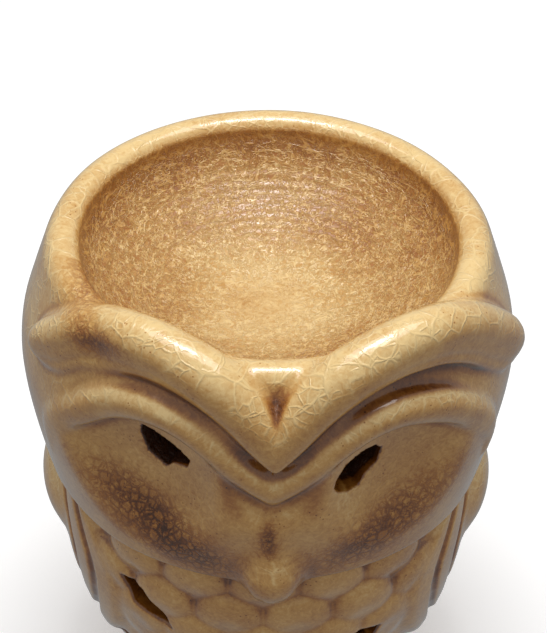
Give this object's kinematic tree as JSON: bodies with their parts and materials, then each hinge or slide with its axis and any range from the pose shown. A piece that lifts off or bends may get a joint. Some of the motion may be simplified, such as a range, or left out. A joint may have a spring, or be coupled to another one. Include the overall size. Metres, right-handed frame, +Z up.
{
  "type": "owl-shaped oil burner",
  "caption": "Ceramic oil burner shaped like an owl, with an open dish in the head, pierced eyes and breast, and a tealight that slides in at the back.",
  "frame": {"origin": "centre of the footprint's box, on the surface that the pads stand on", "axes": "+Z up; the owl faces -Y, and the doorway for the tealight is at the back, on the +Y side; +X is on the right of someone who looks the owl in the face"},
  "size_m": [0.1006, 0.1032, 0.1261],
  "materials": {
    "glazed_clay": "glossy crackle glaze over buff clay",
    "dish_glaze": "glossy, densely crackled amber glaze",
    "felt": "pressed felt",
    "aluminium_cup": "bright drawn sheet",
    "tin_plate": "tinned sheet",
    "wax": "slightly translucent paraffin wax",
    "cotton_wick": "braided, waxed cotton"
  },
  "bodies": {
    "burner": {"body_shell": "glazed_clay", "breast_feathers": "glazed_clay", "head_shell": "glazed_clay", "oil_dish": "dish_glaze", "brow_ridge": "glazed_clay", "beak": "glazed_clay", "left_wing": "glazed_clay", "right_wing": "glazed_clay", "left_foot": "glazed_clay", "right_foot": "glazed_clay", "base_disc": "glazed_clay", "felt_pad_1": "felt", "felt_pad_2": "felt", "felt_pad_3": "felt", "felt_pad_4": "felt"},
    "tealight": {"candle_cup": "aluminium_cup", "wick_sustainer": "tin_plate", "candle_wax": "wax", "candle_wick": "cotton_wick"}
  },
  "joints": [
    {"name": "tealight_slide", "type": "slide", "parent": "burner", "child": "tealight", "axis": [0, 1, 0], "range_m": [-0.005, 0.095]}
  ]
}
